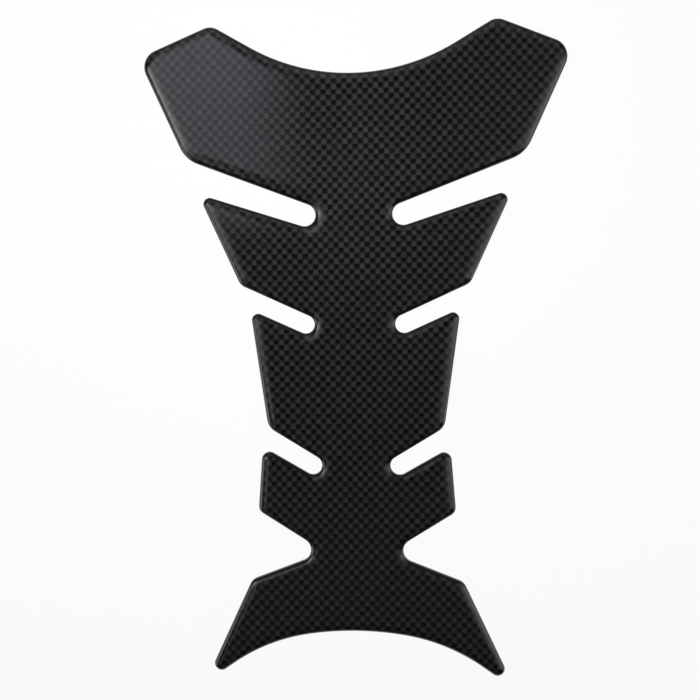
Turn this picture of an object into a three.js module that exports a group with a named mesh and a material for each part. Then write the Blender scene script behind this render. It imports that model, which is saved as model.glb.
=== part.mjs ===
// Motorcycle tank pad: a fishbone-shaped pad of clear resin, cast in one piece on a printed film.
//
// Millimetres, +Z up. The pad lies on its adhesive underside, which is the plane z = 0, with its
// origin in the middle of that face. The two ears point to +Y and the two tails to -Y, and the
// left half is the mirror image of the right half.
import * as THREE from 'three';

// Section through the edge: an upright cut edge, then a rolled shoulder up to the flat top.
const thickness = 2.6;
const wallHeight = 0.8;
const shoulderInset = 4;
const tightestCorner = 0.4; // the least radius that a corner keeps where the shoulder ends
const pointedShare = 0.75; // of its depth, that a pointed corner leaves to the shoulder

// Top edge, from ear to ear: one hollow arc between two straights.
const topEdgeRadius = 67;
const topEdgeSlope = 30; // degrees

// Ears: the tip is the corner next to the top edge, the foot is the corner at the first slot.
const ear = {
  tipX: 46.1,
  tipRadius: 5.2,
  shoulderX: 70.4,
  shoulderDrop: 9.8, // from the tip
  shoulderRadius: 5.7,
  footX: 55.4,
  footRadius: 10.4,
  height: 33.2, // from the shoulder to the foot
};

// Fins below the ears. Above each fin is a slot with a round inner end. The end lies slotEndDrop
// below the corner over the slot, and the mouth is the slot's opening between its two corners.
// The head is the fin's upper corner and the foot its lower one, a height below the head.
const upperFin = {
  slotEndX: 16.2,
  slotEndDrop: 18.7,
  slotEndRadius: 3.6,
  mouth: 11.2,
  headX: 51.5,
  headRadius: 2.1,
  footX: 37.8,
  footRadius: 4.3,
  height: 30.2,
};
const middleFin = {
  slotEndX: 16.3,
  slotEndDrop: 13.1,
  slotEndRadius: 3.0,
  mouth: 8.1,
  headX: 34.7,
  headRadius: 2.1,
  footX: 29.3,
  footRadius: 5.4,
  height: 39.3,
};
const lowerFin = {
  slotEndX: 14.5,
  slotEndDrop: 12.7,
  slotEndRadius: 3.1,
  mouth: 6.6,
  headX: 31.3,
  headRadius: 2.6,
  footX: 33.0,
  footRadius: 3.0,
  height: 21.6,
};
// The tail is cut off from the last fin by a wide notch, and its foot is a pointed tip.
const tail = {
  slotEndX: 19.4,
  slotEndDrop: 13.2,
  slotEndRadius: 3.9,
  mouth: 23.7,
  headX: 35.6,
  headRadius: 4.4,
  footX: 52.6,
  footRadius: 2.4,
  height: 36.3,
};

// Bottom edge, from tail to tail: a wide hollow arc, a tighter one each side, then straights.
const bottomMiddleRadius = 103;
const bottomMiddleSlope = 9; // degrees, where the wide arc ends
const bottomSideRadius = 62;
const bottomEdgeSlope = 35; // degrees, of the straights

// Fineness of the faceted solid.
const arcTolerance = 0.025; // the most that a facet may leave its arc
const shoulderSteps = 6;
const samePoint = 1e-6; // two arcs that run into each other share a point

const degrees = THREE.MathUtils.degToRad;
const fullTurn = 2 * Math.PI;
const up = degrees(90);
const down = degrees(270);

// Unit vector that points at an angle from +X.
function direction(angle) {
  return new THREE.Vector2(Math.cos(angle), Math.sin(angle));
}

// The outline is walked clockwise as seen from above, so its outside is always on the left.
// This is the angle at which the straight between two points faces out.
function facing(from, to) {
  return Math.atan2(to.y - from.y, to.x - from.x) + up;
}

// A bend is one round stretch of the outline. Its radius is positive on a corner that stands out
// and negative in a hollow, so that centre + radius * normal is on the outline for both, where
// the outward normal turns from start by sweep. Each of its two ends lets the shoulder reach in
// by a share of its inset, which is less than 1 only at a pointed corner and beside it.
function bend(centre, radius, start, sweep, shares = [1, 1]) {
  return { centre, radius, start, sweep, shares };
}

function bendPoint(one, angle) {
  return direction(angle).multiplyScalar(one.radius).add(one.centre);
}

const bendStart = (one) => bendPoint(one, one.start);
const bendEnd = (one) => bendPoint(one, one.start + one.sweep);

// Corner at a vertex, rounded to a radius that its two straights have room for. A straight is
// shared with the corner at its other end, if it has one there and not a hollow. A pointed
// corner, such as the tail's tip, is too narrow for the full shoulder.
function corner(before, vertex, after, radius) {
  const start = facing(before.point, vertex);
  let sweep = facing(vertex, after.point) - start;
  while (sweep > 0) sweep -= fullTurn;
  while (sweep <= -fullTurn) sweep += fullTurn;
  const [room] = [before, after]
    .map(({ point, share }) => point.distanceTo(vertex) * share)
    .sort((a, b) => a - b);
  const widest = room / Math.tan(-sweep / 2);
  const fitted = Math.min(radius, widest);
  const middle = direction(start + sweep / 2);
  const centre = vertex.clone().addScaledVector(middle, -fitted / Math.cos(sweep / 2));
  const share = Math.min(1, (widest * pointedShare) / shoulderInset);
  return bend(centre, fitted, start, sweep, [share, share]);
}

// Round inner end of a slot, with its edges running from the end to the corners of its mouth.
function slotEnd(upper, centre, radius, lower) {
  const touch = (vertex, side) => {
    const reach = vertex.clone().sub(centre);
    return reach.angle() + side * Math.acos(radius / reach.length());
  };
  const start = touch(upper, 1) + Math.PI;
  let sweep = touch(lower, -1) + Math.PI - start;
  while (sweep < 0) sweep += fullTurn;
  while (sweep >= fullTurn) sweep -= fullTurn;
  return bend(centre, -radius, start, sweep);
}

// Right-hand side: the vertices of the ear, and of each fin with its slot's end before it.
function sideKnots() {
  const tip = new THREE.Vector2(ear.tipX, 0);
  const shoulder = new THREE.Vector2(ear.shoulderX, tip.y - ear.shoulderDrop);
  const foot = new THREE.Vector2(ear.footX, shoulder.y - ear.height);
  const knots = [
    { vertex: tip, radius: ear.tipRadius },
    { vertex: shoulder, radius: ear.shoulderRadius },
    { vertex: foot, radius: ear.footRadius },
  ];
  for (const fin of [upperFin, middleFin, lowerFin, tail]) {
    const over = knots[knots.length - 1].vertex;
    const head = new THREE.Vector2(fin.headX, over.y - fin.mouth);
    const centre = new THREE.Vector2(fin.slotEndX, over.y - fin.slotEndDrop);
    knots.push({ end: slotEnd(over, centre, fin.slotEndRadius, head) });
    knots.push({ vertex: head, radius: fin.headRadius });
    knots.push({
      vertex: new THREE.Vector2(fin.footX, head.y - fin.height),
      radius: fin.footRadius,
    });
  }
  return knots;
}

// Hollow arc across the middle of the top edge, tangent to the straights up to the ear tips.
function topEdge(tip) {
  const slope = degrees(topEdgeSlope);
  const crossing = tip.y - tip.x * Math.tan(slope);
  const centre = new THREE.Vector2(0, crossing + topEdgeRadius / Math.cos(slope));
  return bend(centre, -topEdgeRadius, up - slope, 2 * slope);
}

// Hollow arcs across the bottom edge: the tighter arc on the right, then the wide middle one.
function bottomEdge(tailTip) {
  const outer = degrees(bottomEdgeSlope);
  const inner = degrees(bottomMiddleSlope);
  const step = bottomMiddleRadius - bottomSideRadius;
  const sideX = step * Math.sin(inner);
  const crossing = tailTip.y + (tailTip.x - sideX) * Math.tan(outer);
  const sideCentre = new THREE.Vector2(sideX, crossing - bottomSideRadius / Math.cos(outer));
  const middleCentre = new THREE.Vector2(0, sideCentre.y - step * Math.cos(inner));
  return [
    bend(sideCentre, -bottomSideRadius, down - outer, outer - inner),
    bend(middleCentre, -bottomMiddleRadius, down - inner, 2 * inner),
  ];
}

function mirrored(one) {
  const centre = new THREE.Vector2(-one.centre.x, one.centre.y);
  const start = Math.PI - one.start - one.sweep;
  return bend(centre, one.radius, start, one.sweep, [...one.shares].reverse());
}

// All bends of the outline, clockwise from the top edge.
function outlineBends() {
  const knots = sideKnots();
  const top = topEdge(knots[0].vertex);
  const [bottomSide, bottomMiddle] = bottomEdge(knots[knots.length - 1].vertex);
  const path = [{ end: top }, ...knots, { end: bottomSide }];
  const right = [];
  const neighbour = (knot, hollowPoint) => (
    knot.vertex ? { point: knot.vertex, share: 0.5 } : { point: hollowPoint(knot.end), share: 1 }
  );
  for (let i = 1; i < path.length - 1; i += 1) {
    const { vertex, radius, end } = path[i];
    const before = neighbour(path[i - 1], bendEnd);
    const after = neighbour(path[i + 1], bendStart);
    right.push(end ?? corner(before, vertex, after, radius));
  }
  right.push(bottomSide);
  // A hollow takes over the shares of the corners beside it.
  right.forEach((one, i) => {
    if (one.radius < 0) one.shares = [right[i - 1].shares[1], right[i + 1]?.shares[0] ?? 1];
  });
  return [top, ...right, bottomMiddle, ...right.map(mirrored).reverse()];
}

// Point of a bend moved in by an inset. A hollow grows and a corner shrinks with the inset, and
// a corner that has shrunk to its least radius moves in along its middle line instead.
function insetPoint(one, along, inset) {
  const local = inset * THREE.MathUtils.lerp(...one.shares, along);
  const normal = direction(one.start + one.sweep * along);
  if (one.radius < 0) return normal.multiplyScalar(one.radius - local).add(one.centre);
  const radius = Math.max(one.radius - local, Math.min(tightestCorner, one.radius));
  const beyond = local - (one.radius - radius);
  const middle = direction(one.start + one.sweep / 2);
  const centre = one.centre.clone().addScaledVector(middle, -beyond / Math.cos(one.sweep / 2));
  return normal.multiplyScalar(radius).add(centre);
}

// Points of the whole outline moved in by an inset.
function ring(bends, inset) {
  const points = [];
  for (const one of bends) {
    const step = Math.sqrt((8 * arcTolerance) / Math.abs(one.radius));
    const count = Math.max(2, Math.ceil(Math.abs(one.sweep) / step));
    for (let i = 0; i <= count; i += 1) {
      const point = insetPoint(one, i / count, inset);
      const last = points[points.length - 1];
      if (!last || last.distanceTo(point) > samePoint) points.push(point);
    }
  }
  return points;
}

// Section of the edge as steps of inset and height, from the underside to the flat top.
function section() {
  const steps = [
    { inset: 0, height: 0 },
    { inset: 0, height: wallHeight },
  ];
  for (let i = 1; i <= shoulderSteps; i += 1) {
    const angle = (up * i) / shoulderSteps;
    steps.push({
      inset: shoulderInset * (1 - Math.cos(angle)),
      height: wallHeight + (thickness - wallHeight) * Math.sin(angle),
    });
  }
  return steps;
}

// Closed solid: a stack of rings with the same number of points, closed by two flat faces.
function padGeometry() {
  const bends = outlineBends();
  const rings = section().map(({ inset, height }) => ({ height, points: ring(bends, inset) }));
  const ys = rings[0].points.map((point) => point.y);
  const middleY = (Math.max(...ys) + Math.min(...ys)) / 2;

  const positions = [];
  for (const { height, points } of rings) {
    for (const point of points) positions.push(point.x, point.y - middleY, height);
  }

  const size = rings[0].points.length;
  const indices = [];
  for (let level = 0; level + 1 < rings.length; level += 1) {
    for (let i = 0; i < size; i += 1) {
      const low = level * size + i;
      const lowNext = level * size + ((i + 1) % size);
      indices.push(low, low + size, lowNext);
      indices.push(lowNext, low + size, lowNext + size);
    }
  }
  const face = (points) => {
    const anticlockwise = points.slice().reverse();
    const triangles = THREE.ShapeUtils.triangulateShape(anticlockwise, []);
    return triangles.map((triangle) => triangle.map((index) => size - 1 - index));
  };
  const topStart = (rings.length - 1) * size;
  for (const [a, b, c] of face(rings[0].points)) indices.push(c, b, a);
  for (const [a, b, c] of face(rings[rings.length - 1].points)) {
    indices.push(topStart + a, topStart + b, topStart + c);
  }

  const geometry = new THREE.BufferGeometry();
  geometry.setAttribute('position', new THREE.Float32BufferAttribute(positions, 3));
  geometry.setIndex(indices);
  geometry.computeVertexNormals();
  return geometry;
}

const glossyBlack = new THREE.MeshStandardMaterial({
  color: 0x28282b,
  roughness: 0.2,
  metalness: 0,
});

const pad = new THREE.Mesh(padGeometry(), glossyBlack);
pad.name = 'tank_pad';

const group = new THREE.Group();
group.add(pad);

export default group;
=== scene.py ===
"""Motorcycle tank pad: carbon-weave film under a domed layer of clear resin, on a pale floor."""

import math

import bpy
from mathutils import Matrix, Vector


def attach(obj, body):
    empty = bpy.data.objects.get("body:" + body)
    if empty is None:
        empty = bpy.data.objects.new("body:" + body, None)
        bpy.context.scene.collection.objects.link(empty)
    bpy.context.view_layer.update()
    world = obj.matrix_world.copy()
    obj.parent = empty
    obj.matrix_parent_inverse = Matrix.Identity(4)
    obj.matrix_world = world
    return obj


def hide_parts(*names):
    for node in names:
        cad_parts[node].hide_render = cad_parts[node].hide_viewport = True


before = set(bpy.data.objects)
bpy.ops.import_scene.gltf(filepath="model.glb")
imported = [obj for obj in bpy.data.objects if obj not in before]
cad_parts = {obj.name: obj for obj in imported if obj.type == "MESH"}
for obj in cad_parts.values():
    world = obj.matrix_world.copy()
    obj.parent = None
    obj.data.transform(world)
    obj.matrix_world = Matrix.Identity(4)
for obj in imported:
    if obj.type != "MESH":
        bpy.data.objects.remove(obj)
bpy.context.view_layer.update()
scene = bpy.context.scene
MM = 0.001


def add_node(tree, kind, settings=None, **inputs):
    """Adds a node and sets its properties. An input is named, or numbered as in _0, and takes
    a value, another node's output, or another node, for that node's first output."""
    node = tree.nodes.new(kind)
    for name, value in (settings or {}).items():
        setattr(node, name, value)
    for name, value in inputs.items():
        socket = node.inputs[int(name[1:]) if name[1:].isdigit() else name.replace("_", " ")]
        if isinstance(value, bpy.types.Node):
            value = value.outputs[0]
        if isinstance(value, bpy.types.NodeSocket):
            tree.links.new(value, socket)
        else:
            socket.default_value = value
    return node


# Camera, at the photograph's place over the pad: 0.32 m up and about six degrees off square.
# The place is in metres, the sensor and the lens in millimetres.
CAMERA_PLACE = (0.023652, 0.025032, 0.319565)
CAMERA_TURN = (
    (0.996863, 0.004493, 0.079019),
    (-0.010223, 0.997333, 0.072260),
    (-0.078483, -0.072841, 0.994251),
)
SENSOR_WIDTH = 36
FOCAL_LENGTH = 50
NEAREST_SEEN = 0.01


def place_camera():
    data = bpy.data.cameras.new("camera")
    data.sensor_width = SENSOR_WIDTH
    data.lens = FOCAL_LENGTH
    data.clip_start = NEAREST_SEEN
    camera = bpy.data.objects.new("camera", data)
    camera.matrix_world = Matrix.Translation(CAMERA_PLACE) @ Matrix(CAMERA_TURN).to_4x4()
    scene.collection.objects.link(camera)
    scene.camera = camera


place_camera()


# The pad's outline and section, in millimetres, with the same sizes as the CAD node.
SECTION = {
    "Thickness": 2.6,
    "Wall Height": 0.8,
    "Shoulder Width": 4.0,
    "Tightest Corner": 0.4,
}
# Share of a pointed corner's room that the shoulder may take up.
POINTED_SHARE = 0.75
TOP_EDGE_RADIUS = 67.0
TOP_EDGE_SLOPE = math.radians(30)
EAR = {
    "tip_x": 46.1, "tip_radius": 5.2,
    "shoulder_x": 70.4, "shoulder_drop": 9.8, "shoulder_radius": 5.7,
    "foot_x": 55.4, "foot_radius": 10.4, "height": 33.2,
}
# Each fin: x of its slot's end, drop and radius of that end, mouth of the slot, x and radius
# of the fin's head, x and radius of its foot, height from head to foot.
FINS = (
    (16.2, 18.7, 3.6, 11.2, 51.5, 2.1, 37.8, 4.3, 30.2),
    (16.3, 13.1, 3.0, 8.1, 34.7, 2.1, 29.3, 5.4, 39.3),
    (14.5, 12.7, 3.1, 6.6, 31.3, 2.6, 33.0, 3.0, 21.6),
    (19.4, 13.2, 3.9, 23.7, 35.6, 4.4, 52.6, 2.4, 36.3),
)
BOTTOM_MIDDLE_RADIUS = 103.0
BOTTOM_MIDDLE_SLOPE = math.radians(9)
BOTTOM_SIDE_RADIUS = 62.0
BOTTOM_EDGE_SLOPE = math.radians(35)
# How closely straight steps follow a bend, and how few a bend may have.
ARC_TOLERANCE = 0.003
LEAST_ARC_STEPS = 4
SHOULDER_STEPS = 16
MERGE_DISTANCE = 0.001

UP = math.radians(90)
DOWN = math.radians(270)
TURN = math.radians(360)


def direction(angle):
    return Vector((math.cos(angle), math.sin(angle)))


def facing(start, end):
    """Angle at which a straight faces out, where the outline runs clockwise."""
    return math.atan2(end.y - start.y, end.x - start.x) + UP


def bend(centre, radius, start, sweep, shares=(1, 1)):
    """One round stretch: a corner has a positive radius and a hollow a negative one.
    Its shares are how much of the shoulder's inset there is room for at its two ends."""
    return {"centre": centre, "radius": radius, "start": start, "sweep": sweep,
            "shares": shares}


def bend_point(one, angle):
    return one["centre"] + direction(angle) * one["radius"]


def corner(before, vertex, after, radius):
    """The bend that rounds a vertex. Before and after are the point at the straight's other end
    and the share of the straight that this corner may use."""
    start = facing(before[0], vertex)
    sweep = facing(vertex, after[0]) - start
    while sweep > 0:
        sweep -= TURN
    while sweep <= -TURN:
        sweep += TURN
    room = min((point - vertex).length * share for point, share in (before, after))
    widest = room / math.tan(-sweep / 2)
    fitted = min(radius, widest)
    centre = vertex - direction(start + sweep / 2) * (fitted / math.cos(sweep / 2))
    share = min(1, widest * POINTED_SHARE / SECTION["Shoulder Width"])
    return bend(centre, fitted, start, sweep, (share, share))


def slot_end(upper, centre, radius, lower):
    """The hollow that ends a slot, touched by straights from the vertices over and under it."""
    def touch(vertex, side):
        reach = vertex - centre
        return math.atan2(reach.y, reach.x) + side * math.acos(radius / reach.length)

    start = touch(upper, 1) + math.pi
    sweep = touch(lower, -1) + math.pi - start
    while sweep < 0:
        sweep += TURN
    while sweep >= TURN:
        sweep -= TURN
    return bend(centre, -radius, start, sweep)


def side_knots():
    """Vertices of the right-hand side from the ear's tip to the tail's, and the slot ends."""
    tip = Vector((EAR["tip_x"], 0))
    shoulder = Vector((EAR["shoulder_x"], -EAR["shoulder_drop"]))
    foot = Vector((EAR["foot_x"], shoulder.y - EAR["height"]))
    knots = [
        (tip, EAR["tip_radius"]),
        (shoulder, EAR["shoulder_radius"]),
        (foot, EAR["foot_radius"]),
    ]
    for end_x, end_drop, end_radius, mouth, head_x, head_r, foot_x, foot_r, height in FINS:
        over = knots[-1][0]
        head = Vector((head_x, over.y - mouth))
        centre = Vector((end_x, over.y - end_drop))
        knots.append((None, slot_end(over, centre, end_radius, head)))
        knots.append((head, head_r))
        knots.append((Vector((foot_x, head.y - height)), foot_r))
    return knots


def top_edge(tip):
    """The hollow between the ears, which reaches each ear's tip at the top edge's slope."""
    crossing = tip.y - tip.x * math.tan(TOP_EDGE_SLOPE)
    centre = Vector((0, crossing + TOP_EDGE_RADIUS / math.cos(TOP_EDGE_SLOPE)))
    return bend(centre, -TOP_EDGE_RADIUS, UP - TOP_EDGE_SLOPE, 2 * TOP_EDGE_SLOPE)


def bottom_edge(tip):
    """The hollow between the tail's tips: a tighter bend at each side of a flatter middle."""
    outer = BOTTOM_EDGE_SLOPE
    inner = BOTTOM_MIDDLE_SLOPE
    step = BOTTOM_MIDDLE_RADIUS - BOTTOM_SIDE_RADIUS
    side_x = step * math.sin(inner)
    crossing = tip.y + (tip.x - side_x) * math.tan(outer)
    side = Vector((side_x, crossing - BOTTOM_SIDE_RADIUS / math.cos(outer)))
    middle = Vector((0, side.y - step * math.cos(inner)))
    return (
        bend(side, -BOTTOM_SIDE_RADIUS, DOWN - outer, outer - inner),
        bend(middle, -BOTTOM_MIDDLE_RADIUS, DOWN - inner, 2 * inner),
    )


def outline_bends():
    """All bends of the outline, clockwise from the top edge; the left half is mirrored."""
    knots = side_knots()
    top = top_edge(knots[0][0])
    bottom_side, bottom_middle = bottom_edge(knots[-1][0])
    path = [(None, top)] + knots + [(None, bottom_side)]
    right = []
    # Two corners share the straight between them by halves. One that meets a hollow has it all.
    for last, (vertex, value), after in zip(path, path[1:-1], path[2:]):
        if vertex is None:
            right.append(value)
            continue
        before_point = (last[0], 0.5) if last[0] is not None else (
            bend_point(last[1], last[1]["start"] + last[1]["sweep"]), 1)
        after_point = (after[0], 0.5) if after[0] is not None else (
            bend_point(after[1], after[1]["start"]), 1)
        right.append(corner(before_point, vertex, after_point, value))
    right.append(bottom_side)
    for i, one in enumerate(right):
        if one["radius"] < 0:
            last_share = right[i - 1]["shares"][1]
            one["shares"] = (last_share, right[i + 1]["shares"][0] if right[i + 1:] else 1)
    left = [
        bend(Vector((-one["centre"].x, one["centre"].y)), one["radius"],
             math.pi - one["start"] - one["sweep"], one["sweep"], one["shares"][::-1])
        for one in reversed(right)
    ]
    return [top] + right + [bottom_middle] + left


def outline_points(bends):
    """Points round the outline, in metres, with what the section's rule reads at each."""
    same_place = 1e-9
    rows = []
    for one in bends:
        # A straight step of this angle leaves its arc by the tolerance at most.
        step = math.sqrt(8 * ARC_TOLERANCE / abs(one["radius"]))
        count = max(LEAST_ARC_STEPS, math.ceil(abs(one["sweep"]) / step))
        half = one["sweep"] / 2
        lean = Vector((0, 0))
        if one["radius"] > 0:
            lean = direction(one["start"] + half) / math.cos(half)
        for i in range(count + 1):
            way = direction(one["start"] + one["sweep"] * i / count)
            point = bend_point(one, one["start"] + one["sweep"] * i / count)
            if rows and (rows[-1]["point"] - point * MM).length < same_place:
                continue
            first, last = one["shares"]
            rows.append({
                "point": point * MM,
                "bend_centre": one["centre"] * MM,
                "bend_radius": one["radius"] * MM,
                "way_out": way,
                "lean": lean,
                "inset_share": first + (last - first) * i / count,
            })
    return rows


# What each point carries into the node tree: the centre and signed radius of its bend, the way
# out of the pad, how a corner's centre moves in once its radius is down to the tightest, its
# share of the shoulder's inset, and how far up the shoulder it is, or -1 on the underside.
POINT_VALUES = {
    "bend_centre": "FLOAT_VECTOR",
    "bend_radius": "FLOAT",
    "way_out": "FLOAT_VECTOR",
    "lean": "FLOAT_VECTOR",
    "inset_share": "FLOAT",
    "climb": "FLOAT",
}


def stacked_outline():
    """The outline once for each step of the section, joined by bands of faces, with two caps.
    All of it is still flat: the node tree gives it the section."""
    rows = outline_points(outline_bends())
    lengthways = [row["point"].y for row in rows]
    middle = Vector((0, (max(lengthways) + min(lengthways)) / 2))
    for row in rows:
        row["point"] = row["point"] - middle
        row["bend_centre"] = row["bend_centre"] - middle
    climbs = [-1.0, 0.0] + [(i + 1) / SHOULDER_STEPS for i in range(SHOULDER_STEPS)]
    stack = [dict(row, climb=climb) for climb in climbs for row in rows]
    size = len(rows)
    faces = []
    for first in range(0, size * (len(climbs) - 1), size):
        for i in range(size):
            low, next_low = first + i, first + (i + 1) % size
            faces.append((low, low + size, next_low + size, next_low))
    faces.append(tuple(reversed(range(size * (len(climbs) - 1), size * len(climbs)))))
    faces.append(tuple(range(size)))

    mesh = bpy.data.meshes.new("stacked_outline")
    mesh.from_pydata([row["point"].to_3d() for row in stack], [], faces)
    mesh.polygons.foreach_set("use_smooth", [True] * len(faces))
    for name, kind in POINT_VALUES.items():
        attribute = mesh.attributes.new(name, kind, "POINT")
        if kind == "FLOAT":
            attribute.data.foreach_set("value", [row[name] for row in stack])
        else:
            flat = [part for row in stack for part in row[name].to_3d()]
            attribute.data.foreach_set("vector", flat)
    underside = mesh.attributes.new("underside", "BOOLEAN", "FACE")
    underside.data[len(faces) - 1].value = True
    return mesh


def domed_section_tree(resin, film):
    """Moves the stacked outline onto the pad's section: a low wall, then a shoulder that is a
    quarter of an ellipse, up to the flat top."""
    tree = bpy.data.node_groups.new("domed_section", "GeometryNodeTree")
    tree.is_modifier = True
    tree.interface.new_socket("Geometry", in_out="INPUT", socket_type="NodeSocketGeometry")
    for name in SECTION:
        tree.interface.new_socket(name, in_out="INPUT", socket_type="NodeSocketFloat")
    tree.interface.new_socket("Geometry", in_out="OUTPUT", socket_type="NodeSocketGeometry")
    given = add_node(tree, "NodeGroupInput").outputs
    point = {
        name: add_node(tree, "GeometryNodeInputNamedAttribute", {"data_type": kind}, Name=name)
        for name, kind in POINT_VALUES.items()
    }
    # How far in and how far up the ellipse a point is.
    climbed = add_node(tree, "ShaderNodeMath", {"operation": "MAXIMUM"}, _0=point["climb"], _1=0.0)
    angle = add_node(tree, "ShaderNodeMath", {"operation": "MULTIPLY"}, _0=climbed, _1=UP)
    cosine = add_node(tree, "ShaderNodeMath", {"operation": "COSINE"}, _0=angle)
    sine = add_node(tree, "ShaderNodeMath", {"operation": "SINE"}, _0=angle)
    width = add_node(tree, "ShaderNodeMath", {"operation": "MULTIPLY"},
                     _0=given["Shoulder Width"], _1=point["inset_share"])
    gone = add_node(tree, "ShaderNodeMath", {"operation": "SUBTRACT"}, _0=1.0, _1=cosine)
    inset = add_node(tree, "ShaderNodeMath", {"operation": "MULTIPLY"}, _0=width, _1=gone)
    rise = add_node(tree, "ShaderNodeMath", {"operation": "SUBTRACT"},
                    _0=given["Thickness"], _1=given["Wall Height"])
    lift = add_node(tree, "ShaderNodeMath", {"operation": "MULTIPLY_ADD"},
                    _0=rise, _1=sine, _2=given["Wall Height"])
    above = add_node(tree, "FunctionNodeCompare", {"operation": "GREATER_EQUAL"},
                     _0=point["climb"], _1=0.0)
    height = add_node(tree, "ShaderNodeMath", {"operation": "MULTIPLY"}, _0=lift, _1=above)
    # A hollow's radius grows by the inset. A corner's shrinks to the tightest, and then its
    # centre moves in.
    shrunk = add_node(tree, "ShaderNodeMath", {"operation": "SUBTRACT"},
                      _0=point["bend_radius"], _1=inset)
    least = add_node(tree, "ShaderNodeMath", {"operation": "MINIMUM"},
                     _0=point["bend_radius"], _1=given["Tightest Corner"])
    held = add_node(tree, "ShaderNodeMath", {"operation": "MAXIMUM"}, _0=shrunk, _1=least)
    corner_here = add_node(tree, "FunctionNodeCompare", {"operation": "GREATER_THAN"},
                           _0=point["bend_radius"], _1=0.0)
    radius = add_node(tree, "GeometryNodeSwitch", {"input_type": "FLOAT"},
                      _0=corner_here, _1=shrunk, _2=held)
    beyond = add_node(tree, "ShaderNodeMath", {"operation": "SUBTRACT"}, _0=radius, _1=shrunk)
    move_in = add_node(tree, "ShaderNodeVectorMath", {"operation": "SCALE"},
                       _0=point["lean"], Scale=beyond)
    centre = add_node(tree, "ShaderNodeVectorMath", {"operation": "SUBTRACT"},
                      _0=point["bend_centre"], _1=move_in)
    spoke = add_node(tree, "ShaderNodeVectorMath", {"operation": "SCALE"},
                     _0=point["way_out"], Scale=radius)
    level_place = add_node(tree, "ShaderNodeVectorMath", {"operation": "ADD"},
                           _0=centre, _1=spoke)
    raised = add_node(tree, "ShaderNodeCombineXYZ", Z=height)
    place = add_node(tree, "ShaderNodeVectorMath", {"operation": "ADD"},
                     _0=level_place, _1=raised)
    # The ellipse's own normal, for exact shading, and the depth from the edge in millimetres.
    level_share = add_node(tree, "ShaderNodeMath", {"operation": "DIVIDE"}, _0=cosine, _1=width)
    up_share = add_node(tree, "ShaderNodeMath", {"operation": "DIVIDE"}, _0=sine, _1=rise)
    outwards = add_node(tree, "ShaderNodeVectorMath", {"operation": "SCALE"},
                        _0=point["way_out"], Scale=level_share)
    upwards = add_node(tree, "ShaderNodeCombineXYZ", Z=up_share)
    slant = add_node(tree, "ShaderNodeVectorMath", {"operation": "ADD"},
                     _0=outwards, _1=upwards)
    facing_out = add_node(tree, "ShaderNodeVectorMath", {"operation": "NORMALIZE"}, _0=slant)
    depth = add_node(tree, "ShaderNodeMath", {"operation": "DIVIDE"}, _0=inset, _1=MM)
    shape = add_node(tree, "GeometryNodeSetPosition", Geometry=given["Geometry"], Position=place)
    shape = add_node(tree, "GeometryNodeStoreNamedAttribute",
                     {"data_type": "FLOAT_VECTOR", "domain": "POINT"},
                     Geometry=shape, Name="facing_out", Value=facing_out)
    shape = add_node(tree, "GeometryNodeStoreNamedAttribute",
                     {"data_type": "FLOAT", "domain": "POINT"},
                     Geometry=shape, Name="from_edge", Value=depth)
    underside = add_node(tree, "GeometryNodeInputNamedAttribute", {"data_type": "BOOLEAN"},
                         Name="underside")
    # Where a straight is used up at the top of the shoulder, its two ends become one point.
    shape = add_node(tree, "GeometryNodeMergeByDistance", Geometry=shape,
                     Distance=MERGE_DISTANCE * MM)
    shape = add_node(tree, "GeometryNodeRealizeInstances", Geometry=shape)
    shape = add_node(tree, "GeometryNodeSetMaterial", Geometry=shape, Material=resin)
    shape = add_node(tree, "GeometryNodeSetMaterial", Geometry=shape, Selection=underside,
                     Material=film)
    add_node(tree, "NodeGroupOutput", Geometry=shape)
    return tree


def domed_pad(resin, film):
    """The finished piece, as a plain mesh with the section's own normals."""
    pad = bpy.data.objects.new("domed_pad", stacked_outline())
    scene.collection.objects.link(pad)
    tree = domed_section_tree(resin, film)
    modifier = pad.modifiers.new("domed_section", "NODES")
    modifier.node_group = tree
    for item in tree.interface.items_tree:
        if item.in_out == "INPUT" and item.name in SECTION:
            modifier[item.identifier] = SECTION[item.name] * MM
    graph = bpy.context.evaluated_depsgraph_get()
    mesh = bpy.data.meshes.new_from_object(pad.evaluated_get(graph), depsgraph=graph)
    pad.modifiers.clear()
    pad.data = mesh
    mesh.name = "domed_pad"
    ways = [Vector(value.vector) for value in mesh.attributes["facing_out"].data]
    film_slot = mesh.materials.find(film.name)
    normals = []
    for face in mesh.polygons:
        below = face.material_index == film_slot
        normals += [Vector((0, 0, -1)) if below else ways[i] for i in face.vertices]
    mesh.normals_split_custom_set(normals)
    for name in [*POINT_VALUES, "facing_out", "underside"]:
        mesh.attributes.remove(mesh.attributes[name])
    return pad


# Materials.
def linear(code):
    """Colour of an sRGB hex code, in linear light."""
    values = [int(code[i:i + 2], 16) / 255 for i in (1, 3, 5)]
    return tuple(
        v / 12.92 if v <= 0.04045 else ((v + 0.055) / 1.055) ** 2.4 for v in values
    ) + (1.0,)


def new_material(name):
    material = bpy.data.materials.new(name)
    material.use_nodes = True
    material.node_tree.nodes.clear()
    return material, material.node_tree


# Carbon-weave film under cast clear polyurethane. The film is a plain weave of tows 1.69 mm
# wide and 1.75 mm high. Where an upright tow lies on top it catches the light, and where a
# level one does the cell stays near black. The filaments are drawn 0.12 mm apart, which is
# coarser than real ones. Towards the edge the weave fades into black; on the side and the
# outer edge of the shoulder this black is painted shade. The resin over it gives one smooth
# gloss, with a swell so slow and low that it only just bends the lines of light.
TOW_WIDTH = 1.692
TOW_HEIGHT = 1.754
WEAVE_ANGLE = math.radians(0.3345)
WEAVE_CELL = (-0.469, 1.267)
NEAR_BLACK = "#040404"
LIT_TOW = "#383738"
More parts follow.
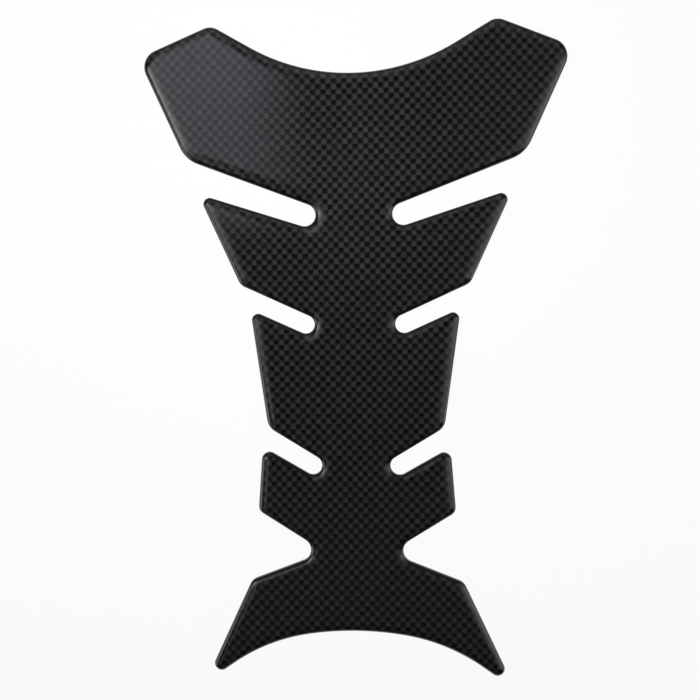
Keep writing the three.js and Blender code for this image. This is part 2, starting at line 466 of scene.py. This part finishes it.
# Height of the weave's wave at which a cell is near black, and at which it is fully lit.
WEAVE_TONES = (-0.68, 1.07)
SIDE_SHADE = 0.07
END_SHADE = -0.095
# Least and most brightness of one crossing, as a share of the usual.
TOW_CHANCE = (0.86, 1.14)
# Filaments side by side in a tow, and changes of tone along them in one cell.
FILAMENTS = 14
FILAMENT_CHANGES = 1.1
# The band of the filaments' noise that shows, and the tones at its two ends on a bright tow, as
# a share of its brightness, and on a level one.
STRAND_BAND = (0.3, 0.7)
UPRIGHT_STRANDS = (0.84, 1.16)
LEVEL_STRANDS = (0.0, 0.05)
# Millimetres from the edge where the black rim ends and where the weave is full. On the side and
# the outer shoulder the rim is painted shade.
RIM = (0.3, 1.6)
# From one swell of the resin to the next, and how high it is, in millimetres.
SWELL_SPACING = 33.3
SWELL_HEIGHT = 0.04
RESIN_IOR = 1.5
RESIN_ROUGHNESS = 0.08
PRINT_ROUGHNESS = 0.5


def resin_over_weave():
    material, tree = new_material("cast_resin_over_carbon_weave")
    place = add_node(tree, "ShaderNodeTexCoord").outputs["Object"]
    cells = add_node(
        tree, "ShaderNodeMapping", {"vector_type": "TEXTURE"}, Vector=place,
        Location=(WEAVE_CELL[0] * MM, WEAVE_CELL[1] * MM, 0),
        Rotation=(0, 0, WEAVE_ANGLE),
        Scale=(TOW_WIDTH * MM, TOW_HEIGHT * MM, MM),
    )
    # In a cell's own units, the weave is one cosine across times one cosine along.
    turns = []
    for share in (math.pi, 2 * math.pi):
        angles = add_node(tree, "ShaderNodeVectorMath", {"operation": "SCALE"},
                          _0=cells, Scale=share)
        turns.append(add_node(tree, "ShaderNodeSeparateXYZ", Vector=angles).outputs)
    across = add_node(tree, "ShaderNodeMath", {"operation": "COSINE"}, _0=turns[0][0])
    along = add_node(tree, "ShaderNodeMath", {"operation": "COSINE"}, _0=turns[0][1])
    checks = add_node(tree, "ShaderNodeMath", {"operation": "MULTIPLY"}, _0=across, _1=along)
    # A tow is darker at its two sides and a little brighter at its lower end.
    edges = add_node(tree, "ShaderNodeMath", {"operation": "COSINE"}, _0=turns[1][0])
    sides = add_node(tree, "ShaderNodeMath", {"operation": "MULTIPLY_ADD"},
                     _0=edges, _1=SIDE_SHADE, _2=checks)
    ends = add_node(tree, "ShaderNodeMath", {"operation": "SINE"}, _0=turns[1][1])
    raised = add_node(tree, "ShaderNodeMath", {"operation": "MULTIPLY_ADD"},
                      _0=ends, _1=END_SHADE, _2=sides)
    tow = add_node(tree, "ShaderNodeMapRange", Value=raised, _1=WEAVE_TONES[0],
                   _2=WEAVE_TONES[1], _3=0.0, _4=1.0)
    # No two crossings of the tows are quite alike. A cell's middle is at a whole number, so half
    # a cell is added before the fraction is dropped.
    moved = add_node(tree, "ShaderNodeVectorMath", {"operation": "ADD"},
                     _0=cells, _1=(0.5, 0.5, 0))
    crossing = add_node(tree, "ShaderNodeVectorMath", {"operation": "FLOOR"}, _0=moved)
    chance = add_node(tree, "ShaderNodeTexWhiteNoise", {"noise_dimensions": "2D"},
                      Vector=crossing)
    varied = add_node(tree, "ShaderNodeMapRange", Value=chance, _1=0.0, _2=1.0,
                      _3=TOW_CHANCE[0], _4=TOW_CHANCE[1])
    lit = add_node(tree, "ShaderNodeMath", {"operation": "MULTIPLY"}, _0=tow, _1=varied)
    # Filaments run up the bright tows, and faintly along the level ones.
    strands = []
    for stretch in ((FILAMENTS, FILAMENT_CHANGES, 1), (FILAMENT_CHANGES, FILAMENTS, 1)):
        fine = add_node(tree, "ShaderNodeVectorMath", {"operation": "MULTIPLY"},
                        _0=cells, _1=stretch)
        strands.append(add_node(tree, "ShaderNodeTexNoise", Vector=fine, Scale=1.0,
                                Detail=1.0))
    upright = add_node(tree, "ShaderNodeMapRange", {"interpolation_type": "SMOOTHSTEP"},
                       Value=strands[0], _1=STRAND_BAND[0], _2=STRAND_BAND[1],
                       _3=UPRIGHT_STRANDS[0], _4=UPRIGHT_STRANDS[1])
    level = add_node(tree, "ShaderNodeMapRange", {"interpolation_type": "SMOOTHSTEP"},
                     Value=strands[1], _1=STRAND_BAND[0], _2=STRAND_BAND[1],
                     _3=LEVEL_STRANDS[0], _4=LEVEL_STRANDS[1])
    shown = add_node(tree, "ShaderNodeMath", {"operation": "MULTIPLY_ADD"},
                     _0=lit, _1=upright, _2=level)
    # Towards the edge the weave fades into black: painted shade on the side and the outer
    # shoulder.
    depth = add_node(tree, "ShaderNodeAttribute", {"attribute_name": "from_edge"})
    rim = add_node(tree, "ShaderNodeMapRange", {"interpolation_type": "SMOOTHSTEP"},
                   Value=depth.outputs["Fac"], _1=RIM[0], _2=RIM[1], _3=0.0, _4=1.0)
    weave_with_dark_edge = add_node(tree, "ShaderNodeMath", {"operation": "MULTIPLY"}, _0=shown, _1=rim)
    colour = add_node(tree, "ShaderNodeMix", {"data_type": "RGBA"}, _0=weave_with_dark_edge,
                      _6=linear(NEAR_BLACK), _7=linear(LIT_TOW))
    # The cast surface sets with a faint, slow swell.
    swell = add_node(tree, "ShaderNodeTexNoise", Vector=place, Detail=1.0,
                     Scale=1 / (SWELL_SPACING * MM))
    surface = add_node(tree, "ShaderNodeBump", Strength=1.0, Distance=SWELL_HEIGHT * MM,
                       Height=swell)
    shader = add_node(
        tree, "ShaderNodeBsdfPrincipled",
        Base_Color=colour.outputs[2],
        Roughness=PRINT_ROUGHNESS,
        IOR=RESIN_IOR,
        Specular_IOR_Level=0.0,
        Coat_Weight=1.0,
        Coat_Roughness=RESIN_ROUGHNESS,
        Coat_IOR=RESIN_IOR,
        Coat_Normal=surface,
    )
    add_node(tree, "ShaderNodeOutputMaterial", Surface=shader)
    return material


# Black vinyl film with its pressure-sensitive adhesive: matt, with a faint mottle.
MOTTLE_SPACING = 2.5
MOTTLE_COLOURS = ("#1b1b1c", "#262627")
FILM_ROUGHNESS = 0.6
FILM_IOR = 1.5


def adhesive_film():
    material, tree = new_material("adhesive_vinyl_film")
    place = add_node(tree, "ShaderNodeTexCoord").outputs["Object"]
    mottle = add_node(tree, "ShaderNodeTexNoise", Vector=place, Detail=4.0,
                      Scale=1 / (MOTTLE_SPACING * MM))
    colour = add_node(tree, "ShaderNodeMix", {"data_type": "RGBA"}, _0=mottle,
                      _6=linear(MOTTLE_COLOURS[0]), _7=linear(MOTTLE_COLOURS[1]))
    shader = add_node(tree, "ShaderNodeBsdfPrincipled", Base_Color=colour.outputs[2],
                      Roughness=FILM_ROUGHNESS, IOR=FILM_IOR)
    add_node(tree, "ShaderNodeOutputMaterial", Surface=shader)
    return material


pad = domed_pad(resin_over_weave(), adhesive_film())
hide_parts("tank_pad")
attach(pad, "root")


# Floor: white paper. Camera and mirror rays see it nearly white, so that the ground is the
# photograph's white, and the rest of its brightness carries the pad's shadow.
PAPER_GLOW = 0.92
PAPER_COLOUR = "#f2f2f2"
FLOOR_HALF_WIDTH = 3.0
FLOOR_LEVEL = -0.0003


def paper_floor():
    material, tree = new_material("white_paper")
    path = add_node(tree, "ShaderNodeLightPath")
    mirrored = add_node(tree, "ShaderNodeMath", {"operation": "MAXIMUM"},
                        _0=path.outputs["Is Glossy Ray"],
                        _1=path.outputs["Is Transmission Ray"])
    seen = add_node(tree, "ShaderNodeMath", {"operation": "MAXIMUM"},
                    _0=path.outputs["Is Camera Ray"], _1=mirrored)
    share = add_node(tree, "ShaderNodeMath", {"operation": "MULTIPLY"}, _0=seen, _1=PAPER_GLOW)
    paper = add_node(tree, "ShaderNodeBsdfDiffuse", Color=linear(PAPER_COLOUR))
    white = add_node(tree, "ShaderNodeEmission", Color=(1, 1, 1, 1), Strength=1.0)
    both = add_node(tree, "ShaderNodeMixShader", _0=share, _1=paper, _2=white)
    add_node(tree, "ShaderNodeOutputMaterial", Surface=both)
    mesh = bpy.data.meshes.new("floor")
    corners = [
        (x * FLOOR_HALF_WIDTH, y * FLOOR_HALF_WIDTH, FLOOR_LEVEL)
        for x, y in ((-1, -1), (1, -1), (1, 1), (-1, 1))
    ]
    mesh.from_pydata(corners, [], [(0, 1, 2, 3)])
    mesh.materials.append(material)
    floor = bpy.data.objects.new("floor", mesh)
    scene.collection.objects.link(floor)


paper_floor()


# Light: soft boxes of a given radiance, aimed at a point, whose light fades towards their edges.
# A box without a grid spreads its light over a half circle.
OPEN_SPREAD = 180
# What a lamp's energy is for each square metre of a box of radiance 1.
ENERGY_OF_RADIANCE = 4
DAYLIGHT = "#eff1ff"


def soft_box(name, place, aim, size, radiance, fades=(0, 0, 0, 0), tint="#ffffff",
             spread=OPEN_SPREAD):
    """Fades are the shares of the box that its left, right, lower and upper fades take. Spread
    is the angle of its beam behind a grid, in degrees."""
    data = bpy.data.lights.new(name, "AREA")
    data.shape = "RECTANGLE"
    data.size, data.size_y = size
    data.energy = radiance * ENERGY_OF_RADIANCE * size[0] * size[1]
    if spread < OPEN_SPREAD:
        # A narrower lamp of the same energy is brighter to look at. This keeps its radiance.
        half = math.radians(spread) / 2
        data.spread = 2 * half
        data.energy *= 1 - half / math.tan(half)
    data.color = linear(tint)[:3]
    data.use_nodes = True
    tree = data.node_tree
    tree.nodes.clear()
    face = add_node(tree, "ShaderNodeNewGeometry")
    along = add_node(tree, "ShaderNodeSeparateXYZ", Vector=face.outputs["Parametric"])
    strength = 1.0
    ends = ((0, 0.0), (0, 1.0), (1, 0.0), (1, 1.0))
    for (axis, end), fade in zip(ends, fades):
        if not fade:
            continue
        inner = end + fade if end == 0 else end - fade
        ramp = add_node(tree, "ShaderNodeMapRange", {"interpolation_type": "SMOOTHSTEP"},
                        Value=along.outputs[axis], _1=end, _2=inner, _3=0.0, _4=1.0)
        strength = add_node(tree, "ShaderNodeMath", {"operation": "MULTIPLY"},
                            _0=strength, _1=ramp)
    glow = add_node(tree, "ShaderNodeEmission", Strength=strength)
    add_node(tree, "ShaderNodeOutputLight", Surface=glow)
    lamp = bpy.data.objects.new(name, data)
    lamp.location = place
    lamp.rotation_euler = (Vector(aim) - Vector(place)).to_track_quat("-Z", "Y").to_euler()
    lamp.visible_camera = False
    scene.collection.objects.link(lamp)
    return lamp


# The room: dim, with a white surround about as bright as the paper. The camera sees it wherever
# it looks past the floor, and mirror rays meet it low down, round the walls.
SURROUND_GLOW = 0.94
ROOM_GLOW = 0.03
# Height, as the sine of the angle, where the white starts to fade upwards and where it ends.
WALL_FADE = (0.06, 0.16)


def surround():
    world = bpy.data.worlds.new("studio")
    world.use_nodes = True
    scene.world = world
    tree = world.node_tree
    tree.nodes.clear()
    path = add_node(tree, "ShaderNodeLightPath")
    towards = add_node(tree, "ShaderNodeTexCoord").outputs["Generated"]
    height = add_node(tree, "ShaderNodeSeparateXYZ", Vector=towards).outputs["Z"]
    low = add_node(tree, "ShaderNodeMapRange", {"interpolation_type": "SMOOTHSTEP"},
                   Value=height, _1=WALL_FADE[0], _2=WALL_FADE[1], _3=1.0, _4=0.0)
    mirrored = add_node(tree, "ShaderNodeMath", {"operation": "MULTIPLY"},
                        _0=path.outputs["Is Glossy Ray"], _1=low)
    direct = add_node(tree, "ShaderNodeMath", {"operation": "MAXIMUM"},
                      _0=path.outputs["Is Camera Ray"],
                      _1=path.outputs["Is Transmission Ray"])
    seen = add_node(tree, "ShaderNodeMath", {"operation": "MAXIMUM"}, _0=direct, _1=mirrored)
    room = add_node(tree, "ShaderNodeBackground", Color=linear(DAYLIGHT), Strength=ROOM_GLOW)
    white = add_node(tree, "ShaderNodeBackground", Color=(1, 1, 1, 1), Strength=SURROUND_GLOW)
    both = add_node(tree, "ShaderNodeMixShader", _0=seen, _1=room, _2=white)
    add_node(tree, "ShaderNodeOutputWorld", Surface=both)


def lamps():
    # The key lamp hangs over the ears behind a grid that narrows its beam. It is polarised, and
    # the lens filters out its mirror image, so that only the weave shows its light.
    key = soft_box("key", (-0.04, 0.11, 0.45), (-0.015, 0.075, 0), (0.12, 0.12), 31, spread=50)
    key.visible_glossy = False
    # These are for the mirror images: the sheen on the left ear, and the lines along the edges.
    # No two hang at one height, since a ray would then meet only one of them.
    soft_box("upper_left", (-0.2, 0.255, 0.35), (-0.2, 0.255, 0), (0.3, 0.41), 0.85,
             fades=(0.5, 0.2, 0.08, 0.5), tint=DAYLIGHT, spread=96)
    soft_box("top_left", (-0.2, 0.27, 0.355), (-0.2, 0.27, 0), (0.3, 0.38), 1.4,
             fades=(0.5, 0.2, 0.53, 0.4), tint=DAYLIGHT, spread=96)
    soft_box("left", (-0.38, 0.055, 0.36), (-0.38, 0.055, 0), (0.58, 0.43), 3.7,
             fades=(0.25, 0.74, 0.58, 0.42))
    soft_box("low_left", (-0.75, -0.2, 0.185), (-0.65, -0.2, 0), (0.65, 0.57), 1.9,
             fades=(0.5, 0.3, 0.25, 0.25))
    soft_box("right", (0.505, 0.045, 0.2), (0.444, 0.045, 0), (0.59, 1.035), 2.1,
             fades=(0.44, 0.68, 0.3, 0.6))
    soft_box("low_right", (0.78, -0.27, 0.15), (0.69, -0.27, 0), (0.3, 0.45), 2.2,
             fades=(0.2, 0.43, 0.2, 0.4))
    soft_box("back", (-0.05, 0.65, 0.34), (-0.05, 0.65, 0), (1.2, 0.9), 0.4,
             fades=(0.3, 0.5, 0.3, 0.0))
    # Faint ones: a veil over the tail, and a second line inside the edges of the lowest fins.
    soft_box("tail", (-0.03, -0.2, 0.365), (-0.03, -0.2, 0), (0.4, 0.28), 0.04,
             fades=(0.3, 0.3, 0.1, 0.6))
    soft_box("lower_left", (-0.27, -0.14, 0.37), (-0.27, -0.14, 0), (0.16, 0.2), 0.5,
             fades=(0.4, 0.4, 0.3, 0.3))
    soft_box("lower_right", (0.28, -0.13, 0.33), (0.28, -0.13, 0), (0.09, 0.12), 0.4,
             fades=(0.4, 0.4, 0.3, 0.3))


surround()
lamps()

scene.view_settings.view_transform = "Standard"
